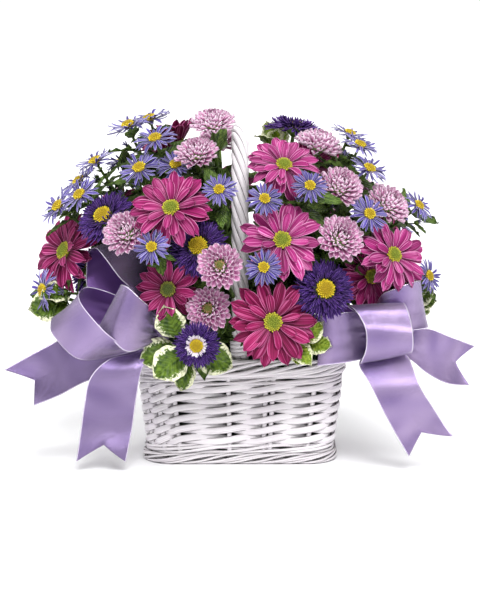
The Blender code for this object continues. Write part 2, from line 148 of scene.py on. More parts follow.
def petal_finish(name, root, body, tip, edge, edge_width, veins, vein_depth, spread):
    """A petal shaded from its root to its tip, with fine veins along it and a pale edge."""
    f = Finish(name, 0.6, Specular_IOR_Level=0.2)
    across, along = f.across_along()
    tone = f.tone()
    base = f.ramp(along, [(0.0, root), (0.3, body), (1.0, tip)])
    lines = f.grain(f.stretched((across, veins), (along, 0.7), (tone, 9.0)), 1.0, 2.0)
    veined = f.mix(f.span(lines, 0.36, 0.56, vein_depth, 0.0), base, root)
    veined = f.mix(f.span(lines, 0.54, 0.72, 0.0, vein_depth * 0.8), veined, edge)
    sides = f.span(f.from_middle(across), 0.5 - edge_width, 0.49)
    rim = f.sum("MAXIMUM", sides, f.span(along, 1.0 - edge_width, 0.99))
    f.toned(f.mix(f.times(rim, 0.85), veined, edge), tone, 1.0 - spread, 1.0 + spread)
    f.relief(lines, 0.0005)
    return f.material


def disc_finish(name, middle, rim):
    """Crowded florets, from their colour at the middle of the disc to the one at its rim."""
    f = Finish(name, 0.7)
    speck = f.grain(f.place(), 900.0, 2.0)
    base = f.ramp(f.tone(), [(0.0, middle), (0.55, middle), (1.0, rim)])
    f.colour(f.shifted(base, f.span(speck, 0.3, 0.7, 0.75, 1.25)))
    f.relief(speck, 0.0004)
    return f.material


def leaf_finish(name, dark, light, cream=None, cream_reach=0.0):
    """A green leaf with a pale midrib, side veins and, on the variegated kind, a ragged cream edge."""
    f = Finish(name, 0.45, Specular_IOR_Level=0.28)
    across, along = f.across_along()
    tone = f.tone()
    beside = f.from_middle(across)
    slant = f.sum("SUBTRACT", f.times(along, 9.0), f.times(beside, 6.0))
    ribs = f.sum("SINE", f.times(slant, 5.0))
    blotch = f.grain(f.stretched((across, 4.0), (along, 4.0), (tone, 1.0)), 1.6)
    base = f.mix(f.span(blotch, 0.35, 0.68), dark, light)
    base = f.mix(f.span(ribs, 0.7, 1.0, 0.0, 0.12), base, light)
    base = f.mix(f.span(beside, 0.035, 0.0, 0.0, 0.6), base, light)
    if cream:
        torn = f.grain(f.stretched((across, 7.0), (along, 11.0), (tone, 5.0)), 1.6, 4.0, 0.7)
        outer = f.sum("MAXIMUM", beside, f.span(along, 0.72, 1.0, 0.0, 0.5))
        reach = f.sum("ADD", outer, f.span(torn, 0.25, 0.75, -0.16, 0.16))
        inner_edge, outer_edge = 0.5 - cream_reach * 0.45, 0.5 - cream_reach * 0.25
        base = f.mix(f.span(reach, inner_edge, outer_edge), base, cream)
    f.toned(base, tone, 0.75, 1.25)
    f.relief(f.sum("ADD", ribs, blotch), 0.0004)
    return f.material


def willow_finish(name, painted_shade_from):
    """White paint on split willow: fine grain along each rod, and painted shade on its sides and inner face,
    where the rods meet.
    """
    f = Finish(name, 0.55, Specular_IOR_Level=0.4)
    around, along = f.across_along()
    tone = f.tone()
    fine = f.grain(f.stretched((around, 11.0), (along, 0.9), (tone, 7.0)), 2.0, 4.0, 0.6)
    patch = f.grain(f.place(), 38.0, 3.0)
    faces_out = f.sum("COSINE", f.times(around, 2 * math.pi))
    base = f.mix(f.span(fine, 0.3, 0.7), shade(228, 220, 226), shade(254, 251, 252))
    base = f.mix(f.span(patch, 0.52, 0.8, 0.0, 0.5), base, shade(238, 228, 238))
    # Painted shade: each rod darkens towards its sides and inner face, where it meets the rods beside it.
    base = f.mix(f.span(faces_out, painted_shade_from, 0.0, 0.0, 0.9), base, shade(62, 54, 54))
    f.toned(base, tone, 0.93, 1.05)
    f.relief(fine, 0.0006)
    return f.material


def satin_finish(name, face, deep, metallic):
    """Satin ribbon: a painted sheen, lighter and darker in a soft cloud along it, fine cross threads and a
    pale woven edge line.
    """
    f = Finish(name, 0.27, Metallic=metallic, Sheen_Weight=0.2, Sheen_Roughness=0.4, Anisotropic=0.6)
    across, along = f.across_along()
    threads = f.sum("SINE", f.times(along, 2400.0))
    # Painted sheen: a soft cloud along the ribbon mixes the face colour with the darker deep one.
    painted_sheen = f.grain(f.stretched((across, 0.8), (along, 5.0)), 1.0, 0.0)
    base = f.mix(f.span(painted_sheen, 0.34, 0.66), face, deep)
    beside = f.from_middle(across)
    line = f.times(f.span(beside, 0.478, 0.486), f.span(beside, 0.4999, 0.4985))
    f.colour(f.mix(line, base, shade(238, 228, 248)))
    f.relief(f.sum("ADD", f.times(threads, 0.2), line), 0.00012)
    return f.material


def plain_finish(name, dark, light, scale, roughness, depth=0.0006):
    """A mottled surface on the object's own coordinates, for the base, the foam and moulded plastic."""
    f = Finish(name, roughness)
    speck = f.grain(f.place(), scale, 4.0)
    f.colour(f.mix(f.span(speck, 0.3, 0.7), dark, light))
    f.relief(speck, depth)
    return f.material


# Colours of a petal's root, body, tip and edge, then the edge's width, the veins, their depth, spread of tone
DAISY_VEINS = (0.08, 11, 0.85, 0.28)
PETAL_COLOURS = {
    "daisy_petal": ((92, 4, 52), (150, 22, 96), (170, 40, 116), (232, 142, 192), *DAISY_VEINS),
    # The three rows below are lighter and darker copies of the daisy petal: painted light and painted shade.
    "daisy_petal_painted_lit": ((108, 14, 70), (166, 40, 118), (186, 64, 138), (238, 166, 210), *DAISY_VEINS),
    "daisy_petal_painted_shade": ((84, 2, 40), (142, 12, 78), (162, 26, 96), (226, 122, 176), *DAISY_VEINS),
    "daisy_petal_painted_deep_shade": ((72, 2, 38), (130, 8, 74), (152, 26, 96), (220, 118, 174), 0.08, 11, 0.85, 0.32),
    "pompon_petal": ((138, 28, 102), (222, 142, 196), (246, 212, 234), (253, 234, 247), 0.26, 8, 0.5, 0.1),
    "violet_petal": ((18, 4, 46), (44, 16, 86), (70, 32, 120), (144, 108, 192), 0.12, 5, 0.4, 0.45),
    "blue_petal": ((50, 38, 110), (80, 66, 144), (110, 98, 176), (206, 200, 236), 0.16, 5, 0.6, 0.34),
    "pale_floret": ((206, 184, 220), (240, 228, 244), (250, 244, 252), (253, 250, 254), 0.1, 6, 0.2, 0.1),
}
PETALS = {
    name: petal_finish(name, *(shade(*dye) for dye in (root, body, tip, edge)), *veins)
    for name, (root, body, tip, edge, *veins) in PETAL_COLOURS.items()
}
DISCS = {
    name: disc_finish(name, shade(*middle), shade(*rim))
    for name, middle, rim in (
        ("daisy_disc", (122, 134, 30), (196, 186, 52)),
        # A darker copy of the daisy disc, for the bloom that sits in shade by the left bow: painted shade.
        ("daisy_disc_painted_shade", (70, 84, 24), (132, 130, 44)),
        ("pompon_disc", (120, 128, 60), (206, 160, 120)),
        ("aster_disc", (176, 150, 14), (238, 214, 44)),
    )
}
STEM_GREEN = leaf_finish("stem_green", shade(44, 70, 26), shade(118, 146, 64))
PITTOSPORUM = leaf_finish(
    "cream_edged_leaf", shade(36, 62, 12), shade(100, 128, 30), shade(244, 246, 208), 0.36
)
YOUNG_PITTOSPORUM = leaf_finish(
    "young_cream_edged_leaf", shade(92, 122, 26), shade(160, 182, 58), shade(244, 246, 206), 0.38
)
# Copies of the painted willow that differ only in how far the painted shade reaches round each rod: least on
# the handle and rim, most on the foot.
WILLOW = willow_finish("painted_willow", 0.48)
HANDLE_WILLOW = willow_finish("painted_handle_willow", 0.2)
FOOT_WILLOW = willow_finish("painted_foot_willow", 1.05)
RIM_WILLOW = willow_finish("painted_rim_willow", 0.28)
SATIN = satin_finish("satin", shade(168, 148, 186), shade(128, 108, 156), 0.74)
# A darker copy of the satin for the left bow's tails: painted shade.
SATIN_SHADED = satin_finish("satin_shaded", shade(146, 128, 168), shade(112, 94, 138), 0.74)
# A darker copy of the satin for the inner faces of the loops: painted shade inside each loop.
SATIN_PAINTED_SHADE = satin_finish("satin_inside_painted_shade", shade(122, 84, 156), shade(96, 62, 128), 0.5)
NODE_FINISHES = {
    "basket_base": plain_finish(
        "painted_base_willow", shade(220, 212, 216), shade(252, 248, 250), 130.0, 0.55
    ),
    "liner": plain_finish("liner_plastic", shade(60, 66, 58), shade(82, 88, 78), 160.0, 0.5, 0.0002),
    "floral_foam": plain_finish("wet_foam", shade(26, 52, 30), shade(44, 78, 46), 420.0, 0.95),
}


# Shapes

def dressed(bm, slot):
    """Makes every face smooth and gives it one of the piece's finishes."""
    for face in bm.faces:
        face.smooth = True
        face.material_index = slot


def grid(columns, rows, place, weld=0.0, slot=0):
    """A welded sheet of faces: place(across, along), each 0 to 1, gives where every corner goes."""
    bm = bmesh.new()
    bmesh.ops.create_grid(bm, x_segments=columns, y_segments=rows, size=0.5)
    reach_x = max(v.co.x for v in bm.verts) * 2
    reach_y = max(v.co.y for v in bm.verts) * 2
    layer = bm.loops.layers.uv.new("UVMap")
    dressed(bm, slot)
    for face in bm.faces:
        for loop in face.loops:
            loop[layer].uv = (loop.vert.co.x / reach_x + 0.5, loop.vert.co.y / reach_y + 0.5)
    for vert in bm.verts:
        vert.co = place(vert.co.x / reach_x + 0.5, vert.co.y / reach_y + 0.5)
    if weld:
        bmesh.ops.remove_doubles(bm, verts=bm.verts, dist=weld)
    return bm


def mesh_of(bm, name):
    """The mesh of a bmesh, which is then freed."""
    mesh = bpy.data.meshes.new(name)
    bm.to_mesh(mesh)
    bm.free()
    return mesh


def facing_out(bm, name):
    """The mesh of a closed shape, its faces turned outwards."""
    bmesh.ops.recalc_face_normals(bm, faces=bm.faces)
    return mesh_of(bm, name)


def linked(name, data):
    """A new object in the scene."""
    thing = bpy.data.objects.new(name, data)
    bpy.context.scene.collection.objects.link(thing)
    return thing


def placed(bm, name, materials, slot, node):
    """A bmesh as a piece on the basket's body, with the CAD node that it replaces hidden; slot is not used.
    """
    piece = linked(name, mesh_of(bm, name))
    for material in materials:
        piece.data.materials.append(material)
    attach(piece, "root")
    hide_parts(node)
    return piece


def blade(
    name, width, length, columns, rows, outline, rise,
    tip=0.05, thickness=0.3, slot=0, wave=0.0, crowd=1.6,
):
    """A petal or leaf along +Y from its root, face up, as a thin closed shell. Sizes are in mm."""
    def place(across, along):
        side = 2 * across - 1
        along = 1 - (1 - along) ** crowd
        ripple = wave * side * side * math.sin(along * 19 + side * 2.1)
        return Vector((
            side * width / 2 * outline(along),
            length * (along - tip * side * side * along ** 3),
            rise(side, along) + ripple,
        )) * MM

    bm = grid(columns, rows, place, slot=slot)
    bmesh.ops.solidify(bm, geom=bm.faces[:], thickness=thickness * MM)
    return facing_out(bm, name)


def blades(name, kinds, length, columns, rows, outline, rise, **more):
    """Several blades of one sort. Each of kinds is a width, then the bends that rise takes."""
    return [
        blade(
            f"{name}_{n}", width, length, columns, rows, outline,
            lambda side, along: rise(side, along, *bends), **more,
        )
        for n, (width, *bends) in enumerate(kinds)
    ]


def bead(name, radius, height):
    """One floret of a disc."""
    bm = bmesh.new()
    bmesh.ops.create_icosphere(bm, subdivisions=1, radius=radius * MM)
    bmesh.ops.scale(bm, vec=(1, 1, height / radius), verts=bm.verts)
    dressed(bm, DISC_SLOT)
    return facing_out(bm, name)


def rod(points, outs, thick_out, thick_up, sides=8, closed=False, slot=0):
    """A willow rod or stem along points (metres), oval: thick_out mm half-deep along outs, thick_up up.

    outs is one way for the whole rod, or holds one for each point.
    """
    count = len(points)
    if isinstance(outs, Vector):
        outs = [outs] * count
    frames = []
    for i, point in enumerate(points):
        before = points[i - 1] if closed or i else point
        after = points[(i + 1) % count] if closed or i < count - 1 else point
        along = (after - before).normalized()
        out = (outs[i] - along * outs[i].dot(along)).normalized()
        frames.append((point, out, along.cross(out)))

    def place(around, along):
        index = round(along * count) % count if closed else round(along * (count - 1))
        point, out, up = frames[index]
        angle = 2 * math.pi * around
        return point + out * math.cos(angle) * thick_out * MM + up * math.sin(angle) * thick_up * MM

    bm = grid(sides, count if closed else count - 1, place, weld=1e-6, slot=slot)
    length = sum((points[i + 1] - points[i]).length for i in range(count - 1))
    layer = bm.loops.layers.uv.active
    for face in bm.faces:
        for loop in face.loops:
            across, along = loop[layer].uv
            loop[layer].uv = (across, along * length * 10)
    if not closed:
        bmesh.ops.holes_fill(bm, edges=[e for e in bm.edges if e.is_boundary], sides=sides + 1)
    return facing_out(bm, "rod")


class Piece:
    """One piece in the making: blades and rods are laid into it, then it takes its finishes."""

    def __init__(self, name):
        self.name = name
        self.bm = bmesh.new()
        self.bm.loops.layers.uv.new("UVMap")
        self.tone = self.bm.verts.layers.float.new("tone")

    def lay(self, mesh, matrix=None, tone=0.0):
        copy = mesh.copy()
        if matrix:
            copy.transform(matrix)
        start = len(self.bm.verts)
        self.bm.from_mesh(copy, face_normals=False)
        bpy.data.meshes.remove(copy)
        self.bm.verts.ensure_lookup_table()
        for index in range(start, len(self.bm.verts)):
            self.bm.verts[index][self.tone] = tone

    def finish(self, slot, materials, node):
        placed(self.bm, self.name, materials, slot, node)


def standing(at, facing, turn):
    """The frame of a bloom: +Z is its face."""
    return (
        Matrix.Translation(at)
        @ facing.to_track_quat("Z", "Y").to_matrix().to_4x4()
        @ Matrix.Rotation(turn, 4, "Z")
    )


def lifted(bloom, height):
    return bloom @ Matrix.Translation((0, 0, height * MM))


def petal_at(bloom, turn, radius, height, lift, roll=0.0, size=1.0):
    return (
        bloom
        @ Matrix.Rotation(turn, 4, "Z")
        @ Matrix.Translation((0, radius * MM, height * MM))
        @ Matrix.Rotation(lift, 4, "X")
        @ Matrix.Rotation(roll, 4, "Y")
        @ Matrix.Scale(size, 4)
    )


def spoon(wide_at, root):
    """Outline of a petal, narrow at its root and widest at wide_at."""
    def outline(along):
        if along < wide_at:
            return root + (1 - root) * math.sin(along / wide_at * math.pi / 2)
        return math.sqrt(max(0.03, 1 - ((along - wide_at) / (1 - wide_at)) ** 2.3))
    return outline


def oval(along):
    """Outline of a leaf."""
    return max(0.06, math.sin(math.pi * min(1.0, 0.04 + along * 0.96)) ** 0.7)


# A bloom's finishes: its petals come first, at 0
DISC_SLOT, GREEN_SLOT, PALE_SLOT = 1, 2, 3
LEAF_LENGTH = 32
DAISY_PETALS = blades(
    "daisy_petal", [(10.4, 1.6, 1.2), (9.4, 2.4, 1.6), (11, 0.9, 0.7), (10, -0.8, 2.0)],
    28.5, 6, 8, spoon(0.66, 0.3),
    lambda side, along, bow, dish: bow * math.sin(along * 3.0) - dish * (1 - side * side) * along
    + 0.55 * math.cos(side * 5.2) * along - 3.2 * (bow / 2) * along ** 3,
)
POMPON_PETALS = blades(
    "pompon_petal", [(6.0, 1.8), (5.4, 3.0), (6.4, 0.8)], 11, 4, 5, spoon(0.62, 0.42),
    lambda side, along, curl: 2.1 * side * side * (0.3 + along) + curl * along * along,
    thickness=0.4,
)
ASTER_PETALS = blades(
    "violet_petal", [(2.5, 1.6, 0.6), (2.2, 2.6, -0.6), (2.7, 0.4, 0.9), (2.3, -2.4, 0.4)],
    13, 2, 6, spoon(0.55, 0.6),
    lambda side, along, curl, sway: 0.45 * side * side + curl * along * along + sway * math.sin(along * 5),
)
BLUE_PETALS = blades(
    "blue_petal", [(2.6, 1.4), (2.1, 0.4), (2.4, -1.0)], 13.4, 2, 6, spoon(0.62, 0.45),
    lambda side, along, curl: 0.3 * side * side + curl * math.sin(along * 3.0) - curl * 0.8 * along ** 3,
)
PALE_PETAL = blade(
    "pale_petal", 1.5, 4.5, 2, 4, spoon(0.6, 0.6),
    lambda side, along: 0.3 * side * side, slot=PALE_SLOT,
)
STEM_LEAVES = blades(
    "stem_leaf", [(12, 5), (8, 9), (14, 2)], LEAF_LENGTH, 4, 7, oval,
    lambda side, along, droop: 1.8 * side * side - droop * along * along,
    thickness=0.35, slot=GREEN_SLOT, wave=1.3, crowd=1.0,
)
BROAD_LEAVES = blades(
    "broad_leaf", [(27, 4), (24, 6), (29, 2.5)], LEAF_LENGTH, 8, 10, oval,
    lambda side, along, droop: 1.2 * abs(side) * 2 + droop * math.sin(along * 2.6)
    - droop * 1.1 * along * along,
    tip=0.03, thickness=0.5, wave=1.7, crowd=1.0,
)
DAISY_FLORET = bead("daisy_floret", 0.95, 1.4)
ASTER_FLORET = bead("aster_floret", 0.72, 1.25)


# Blooms read from the CAD sprays

Kind = collections.namedtuple("Kind", "tip_edges tip_height radius leaves slot petals disc")
KINDS = {
    "daisy": Kind(11, 8.5, 34, 20, "daisy_bloom", "daisy_petal", "daisy_disc"),
    "half_open": Kind(10, 8.5, 24, 16, "daisy_bloom", "daisy_petal", "daisy_disc_painted_shade"),
    "pompon": Kind(10, 14.5, 22, 18, "pompon_bloom", "pompon_petal", "pompon_disc"),
    "aster": Kind(10, 9.0, 24, 18, "violet_aster_bloom", "violet_petal", "aster_disc"),
    "blue_aster": Kind(7, 6.0, 16.5, 29, "blue_aster_bloom", "blue_petal", "aster_disc"),
}


def kind_of(name):
    if name == "daisy_by_left_bow":
        return "half_open"
    return "blue_aster" if name.startswith("blue_aster") else name.split("_")[0]


def foot_of(verts):
    """The middle of a stem's lowest points."""
    lowest = min(v.co.z for v in verts)
    feet = [v.co for v in verts if v.co.z < lowest + 0.3 * MM]
    return sum(feet, Vector()) / len(feet)


def blooms_of(name):
    """The middle and facing of each bloom of a CAD spray, and the foot of its stem.

    A bloom's tip is the point where its blank's edges meet, all of them equally long.
    """
    kind = KINDS[kind_of(name)]
    bm = bmesh.new()
    bm.from_mesh(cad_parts[name].data)
    bmesh.ops.remove_doubles(bm, verts=bm.verts, dist=1e-6)
    found = []
    for vert in bm.verts:
        if len(vert.link_edges) != kind.tip_edges:
            continue
        around = [edge.other_vert(vert).co for edge in vert.link_edges]
        reaches = [(point - vert.co).length for point in around]
        if max(reaches) - min(reaches) < 0.05 * MM:
            middle = sum(around, Vector()) / len(around)
            facing = (vert.co - middle).normalized()
            found.append((vert.co - facing * kind.tip_height * MM, facing))
    foot = foot_of(bm.verts)
    bm.free()
    return sorted(found, key=lambda b: tuple(b[0])), foot


SPRAY_NAMES = sorted(
    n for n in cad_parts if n.startswith(("daisy_", "pompon_", "aster_", "blue_aster_"))
)
SPRAYS = {name: blooms_of(name) for name in SPRAY_NAMES}
ALL_BLOOMS = [
    (at, facing, KINDS[kind_of(name)].radius * MM)
    for name, (blooms, _) in SPRAYS.items()
    for at, facing in blooms
]


def tuck(root, tip, reach):
    """The turn that lets a petal pass over or under a neighbouring bloom that it would cut through."""
    turn = 0.0
    for at, facing, radius in ALL_BLOOMS:
        if (at - root).length < 1 * MM:
            continue
        height = (tip - at).dot(facing)
        beside = (tip - at - facing * height).length
        if beside < radius * 0.9 and -9 * MM < height < 7 * MM:
            below = (root - at).dot(facing) < 4 * MM
            turn = -0.5 if below else 0.35
    return turn * reach


def curve(start, pull_start, pull_end, end, steps):
    """Points of a smooth stem from start to end."""
    points = []
    for n in range(steps + 1):
        t = n / steps
        points.append(
            start * (1 - t) ** 3 + pull_start * 3 * t * (1 - t) ** 2
            + pull_end * 3 * t * t * (1 - t) + end * t ** 3
        )
    return points


def over_foam(foot):
    """Where the stem that stands on foot leaves the foam."""
    return Vector((foot.x, foot.y, FOAM_TOP))


def upwards(height):
    return Vector((0, 0, height))


def along_line(line, share):
    """The place at a share of the way along a line of points, and which way the line runs there."""
    place = share * (len(line) - 1)
    low = min(int(place), len(line) - 2)
    return line[low].lerp(line[low + 1], place - low), (line[low + 1] - line[low]).normalized()


def side_way(along, turn):
    """A way square to along, turned about it."""
    return Matrix.Rotation(turn, 3, along) @ along.orthogonal().normalized()


def leaf_frame(base, way, up):
    """The frame of a leaf that runs along way from base, its face as near up as can be, and that face."""
    face = (up - way * up.dot(way)).normalized()
    leaf = Matrix((way.cross(face), way, face)).transposed().to_4x4()
    leaf.translation = base
    return leaf, face


def stem(piece, foot, at, facing, width):
    top = over_foam(foot)
    seat = at - facing * 4 * MM
    span = (seat - top).length
    line = curve(top, top + upwards(0.3 * span), seat - facing * 0.3 * span, seat, 14)
    line = [foot + upwards(1 * MM)] + line
    piece.lay(rod(line, STALK_SIDE.normalized(), width, width, sides=7, slot=GREEN_SLOT))
    return line


# Boxes round the handle and the bows, lowest and highest corner in mm
CLEAR_SPACES = [
    ((-10.5, -200, 128), (10.5, 10, 400)),
    ((-150, -135, 95), (-76, -28, 212)),
    ((62, -135, 92), (190, -70, 172)),
]


def in_clear_space(spot):
    """Whether a leaf here would hide the handle or poke through a bow."""
    return any(
        all(low * MM < place < high * MM for low, place, high in zip(lowest, spot, highest))
        for lowest, highest in CLEAR_SPACES
    )


def covers_bloom(spot):
    """Whether this place is in front of the petals of a bloom, or among them."""
    for at, facing, radius in ALL_BLOOMS:
        offset = spot - at
        height = offset.dot(facing)
        if -1 * MM < height < 16 * MM and (offset - facing * height).length < radius * 0.9:
            return True
    return False


# Places along a leaf, in mm from its base, that have to be clear of the blooms and bows
LEAF_STEPS = (0, 12, 22, LEAF_LENGTH)


def stem_leaves(piece, rng, line, count, size, first=0.46, stretch=0.42):
    """Leaves standing out round the stem, from the share first of the way up it."""
    for n in range(count):
        share = first + stretch * (n + 0.5) / count
        at, along = along_line(line, share)
        side = side_way(along, n * GOLDEN_TURN + rng.uniform(-0.4, 0.4))
        lean = rng.uniform(0.35, 0.65) + 0.25 * (share > 0.7 or share < 0.3)
        reach = (along * (1 - lean) + side * lean).normalized()
        place, face = leaf_frame(at, reach, along)
        leaf, scale, tone = rng.choice(STEM_LEAVES), size * rng.uniform(0.7, 1.1), rng.uniform(-1, 0.6)
        spots = [at + (reach * step - face * 0.004 * step * step) * MM * scale for step in LEAF_STEPS]
        if not any(in_clear_space(spot) or covers_bloom(spot) for spot in spots):
            piece.lay(leaf, place @ Matrix.Scale(scale, 4), tone)


def collar(piece, rng, foot, count):
    """Leaves lying outwards over the foam from where a stem leaves it."""
    outward = math.atan2(foot.y, foot.x)
    for n in range(count):
        turn = outward + 1.3 * (2 * (n + 0.5) / count - 1) + rng.uniform(-0.15, 0.15)
        leaf = (
            Matrix.Translation((foot.x, foot.y, (108 + rng.uniform(0, 6)) * MM))
            @ Matrix.Rotation(turn - math.pi / 2, 4, "Z")
            @ Matrix.Rotation(rng.uniform(0.05, 0.7), 4, "X")
            @ Matrix.Scale(rng.uniform(0.8, 1.25), 4)
        )
        piece.lay(rng.choice(STEM_LEAVES), leaf, rng.uniform(-1, 0.5))


def shoots(piece, rng, line, count):
    """Short side shoots of an aster stem, each with a bud that is just opening."""
    for n in range(count):
        at, along = along_line(line, 0.6 + 0.32 * (n + rng.random()) / count)
        side = side_way(along, n * GOLDEN_TURN + rng.uniform(-0.5, 0.5))
        length = rng.uniform(10, 19) * MM
        end = at + (along * 0.75 + side * 0.7).normalized() * length
        if in_clear_space(end):
            continue
        points = curve(at, at + side * length * 0.3, end - along * length * 0.3, end, 5)
        piece.lay(rod(points, side, 0.6, 0.6, sides=6, slot=GREEN_SLOT))
        bud = standing(end, (along + side * 0.4).normalized(), rng.uniform(0, 6))
        calyx(piece, bud, 2.0, 4)
        for petal in range(9):
            piece.lay(
                rng.choice(BLUE_PETALS),
                petal_at(bud, petal * GOLDEN_TURN, 0.8, 0, rng.uniform(0.7, 1.3), 0, rng.uniform(0.34, 0.5)),
                rng.uniform(-1, 0.4),
            )
        leaf = petal_at(bud, rng.uniform(0, 6), 0.5, -4, 0.6, 0, rng.uniform(0.3, 0.45))
        piece.lay(rng.choice(STEM_LEAVES), leaf, rng.uniform(-0.6, 0.6))


def calyx(piece, bloom, radius, depth):
    bm = bmesh.new()
    bmesh.ops.create_cone(
        bm, cap_ends=True, segments=12, radius1=1.8 * MM, radius2=radius * MM, depth=depth * MM,
        matrix=Matrix.Translation((0, 0, (0.3 - depth / 2) * MM)),
    )
    for face in bm.faces:
        face.smooth = len(face.verts) == 4
        face.material_index = GREEN_SLOT
    piece.lay(facing_out(bm, "calyx"), bloom)


def dome_of_florets(piece, bloom, rng, radius, height, count, floret):
    bm = bmesh.new()
    bmesh.ops.create_uvsphere(bm, u_segments=16, v_segments=8, radius=radius * MM)
    bmesh.ops.scale(bm, vec=(1, 1, height / radius), verts=bm.verts)
    dressed(bm, DISC_SLOT)
    piece.lay(facing_out(bm, "disc"), lifted(bloom, 0.6))
    for n in range(count):
        share = math.sqrt((n + 0.5) / count)
        rise = 0.6 + height * math.sqrt(max(0.0, 1 - share * share * 0.92))
        piece.lay(
            floret,
            petal_at(bloom, n * GOLDEN_TURN, radius * share, rise, -share * 0.9, 0, rng.uniform(0.85, 1.15)),
            min(1.0, share + rng.uniform(-0.1, 0.1)),
        )


def ring_of_petals(piece, bloom, rng, petals, count, radius, height, lift, size, start, spread, tucked=0.0):
    """One ring of petals; tucked is how far each gives way to the blooms beside it."""
    for n in range(count):
        turn = start + 2 * math.pi * n / count + rng.uniform(-0.09, 0.09)
        raised = lift + rng.uniform(-spread, spread)
        if tucked:
            place = petal_at(bloom, turn, radius, height, raised)
            tip = place @ Vector((0, 27 * MM * size, 0))
            raised += tuck(bloom.translation, tip, tucked)
        piece.lay(
            rng.choice(petals),
            petal_at(
                bloom, turn, radius, height, raised,
                rng.uniform(-0.22, 0.22), size * rng.uniform(0.92, 1.05),
            ),
            rng.uniform(-1, 1),
        )


def daisy(piece, bloom, rng):
    start = rng.uniform(0, 1)
    ring_of_petals(piece, bloom, rng, DAISY_PETALS, 14, 6.0, -0.4, 0.0, 1.02, start, 0.09, 1.0)
    ring_of_petals(piece, bloom, rng, DAISY_PETALS, 13, 5.6, 0.6, 0.16, 0.95, start + 0.3, 0.1, 0.8)
    ring_of_petals(piece, bloom, rng, DAISY_PETALS, 8, 5.0, 1.6, 0.42, 0.66, start + 0.7, 0.17)
    dome_of_florets(piece, bloom, rng, 7.0, 3.4, 78, DAISY_FLORET)
    calyx(piece, bloom, 7.5, 6)


def half_open_daisy(piece, bloom, rng, lift=0.28):
    start = rng.uniform(0, 1)
    ring_of_petals(piece, bloom, rng, DAISY_PETALS, 14, 5.5, -0.4, lift, 0.88, start, 0.12, 0.8)
    ring_of_petals(piece, bloom, rng, DAISY_PETALS, 12, 5.2, 0.4, lift + 0.24, 0.76, start + 0.3, 0.16)
    dome_of_florets(piece, bloom, rng, 6.6, 3.2, 70, DAISY_FLORET)
    calyx(piece, bloom, 7.5, 6)


def pompon(piece, bloom, rng, open_eye=False):
    count = 84
    for n in range(count):
        share = math.sqrt((n + 0.5) / count)
        if open_eye and share < 0.3:
            continue
        lift = math.radians(88 - 92 * share ** 1.15) + rng.uniform(-0.08, 0.08)
        piece.lay(
            rng.choice(POMPON_PETALS),
            petal_at(
                bloom, n * GOLDEN_TURN, 1.2 + 10.4 * share, 7.0 - 8.5 * share * share,
                lift, rng.uniform(-0.2, 0.2), (0.5 + 0.52 * share) * rng.uniform(0.93, 1.07),
            ),
            rng.uniform(-1, 1),
        )
    if open_eye:
        dome_of_florets(piece, lifted(bloom, 5), rng, 4.2, 2.2, 34, ASTER_FLORET)
    calyx(piece, lifted(bloom, -2), 9, 6)


def aster(piece, bloom, rng):
    count = 240
    for n in range(count):
        share = (n + 0.5) / count
        lift = math.radians(60 - 74 * share) + rng.uniform(-0.2, 0.2)
        piece.lay(
            rng.choice(ASTER_PETALS),
            petal_at(
                bloom, n * GOLDEN_TURN, 7.2 + 5.2 * share, 1.9 - 4.9 * share,
                lift, rng.uniform(-0.7, 0.7), (0.5 + 0.45 * share) * rng.uniform(0.94, 1.06),
            ),
            rng.uniform(-1, 1),
        )
    dome_of_florets(piece, bloom, rng, 6.9, 4.2, 84, ASTER_FLORET)
    calyx(piece, lifted(bloom, -2), 9, 6)


def pale_ring(piece, bloom, rng):
    """The short pale florets that stand round the disc of a young aster."""
    count = 44
    for n in range(count):
        piece.lay(
            PALE_PETAL,
            petal_at(
                bloom, 2 * math.pi * n / count + rng.uniform(-0.1, 0.1), 6.2, 2.4,
                rng.uniform(0.5, 0.9), rng.uniform(-0.3, 0.3), 1.3 * rng.uniform(0.8, 1.2),
            ),
            rng.uniform(-1, 1),
        )


def blue_aster(piece, bloom, rng):
    start = rng.uniform(0, 1)
    ring_of_petals(piece, bloom, rng, BLUE_PETALS, 17, 3.4, -0.3, 0.0, 1.0, start, 0.16)
    ring_of_petals(piece, bloom, rng, BLUE_PETALS, 15, 3.2, 0.3, 0.18, 0.95, start + 0.23, 0.2)
    dome_of_florets(piece, bloom, rng, 4.6, 2.6, 40, ASTER_FLORET)
    calyx(piece, bloom, 3.6, 4)


BUILD = {
    "daisy": daisy, "half_open": half_open_daisy, "pompon": pompon, "aster": aster, "blue_aster": blue_aster,
}
# Daisies that stand lit or in shade take the lighter or darker petal copies: painted light and painted shade.
PETAL_CHOICE = {
    "daisy_top": "daisy_petal_painted_lit", "daisy_middle": "daisy_petal_painted_lit", "daisy_right": "daisy_petal_painted_lit",
    "daisy_low": "daisy_petal_painted_shade", "daisy_far_left": "daisy_petal_painted_deep_shade",
    "daisy_by_left_bow": "daisy_petal_painted_deep_shade", "daisy_top_left": "daisy_petal_painted_deep_shade",
}
ASTER_SIZE = 1.16
BLOOM_SIZE = {
    "daisy_left": 1.06, "daisy_middle": 1.07, "daisy_low": 1.12, "daisy_far_left": 1.18, "daisy_top": 0.98,
    "aster_low": 0.88, "pompon_middle": 0.95, "pompon_top": 0.92, "blue_aster_left": 1.2,
    "blue_aster_top_left": 1.22, "blue_aster_upper_left": 1.18, "blue_aster_right": 1.1,
}
TURNED_FORWARD = {"daisy_far_left": 0.4}

# Blooms with no blank of their own: kind, the spray that carries each, middle in mm, facing, size
HALF_HIDDEN = {
    "dark_daisy_right": ("daisy", "daisy_right", (116, -68, 172), (0.35, -0.92, 0.15), 0.95),
    "daisy_right_side": ("daisy", "daisy_back_right", (140, 22, 197), (0.93, 0.08, 0.35), 0.95),
    "pompon_right_side": ("pompon", "pompon_back_right", (126, 48, 228), (0.75, 0.25, 0.6), 0.95),
    "aster_right_side": ("aster", "aster_back_right", (146, 36, 156), (0.94, 0.3, 0.15), 1.05),
}


